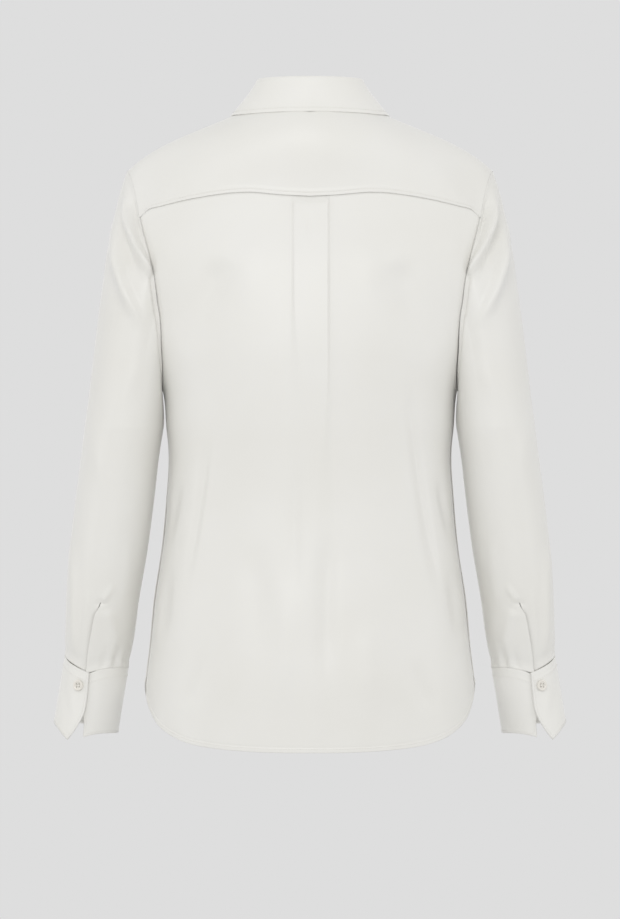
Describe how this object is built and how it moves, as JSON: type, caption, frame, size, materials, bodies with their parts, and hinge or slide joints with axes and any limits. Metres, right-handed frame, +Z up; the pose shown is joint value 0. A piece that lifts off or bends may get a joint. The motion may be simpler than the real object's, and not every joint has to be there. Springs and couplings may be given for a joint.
{
  "type": "silk blouse",
  "caption": "Long-sleeved ivory silk satin blouse with a pointed collar, a back yoke with a centre box pleat, a curved hem and deep buttoned cuffs, filled out as if worn.",
  "frame": {"origin": "midway between the side neck points at shoulder height, where the wearer's shoulders carry it", "axes": "+Z up, -Y the way the wearer faces, +X towards the wearer's left"},
  "size_m": [0.5466, 0.2382, 0.7171],
  "materials": {
    "silk": "soft satin sheen",
    "pearl": "pearly gloss"
  },
  "bodies": {
    "root": {"back_panel": "silk", "back_yoke": "silk", "front_left": "silk", "front_right": "silk", "collar_stand": "silk", "collar_fall": "silk", "sleeve_left": "silk", "sleeve_right": "silk", "cuff_left": "silk", "cuff_right": "silk", "button_collar": "pearl", "button_front_1": "pearl", "button_front_2": "pearl", "button_front_3": "pearl", "button_front_4": "pearl", "button_front_5": "pearl", "button_front_6": "pearl", "button_front_7": "pearl", "button_cuff_left": "pearl", "button_cuff_right": "pearl"}
  },
  "joints": []
}
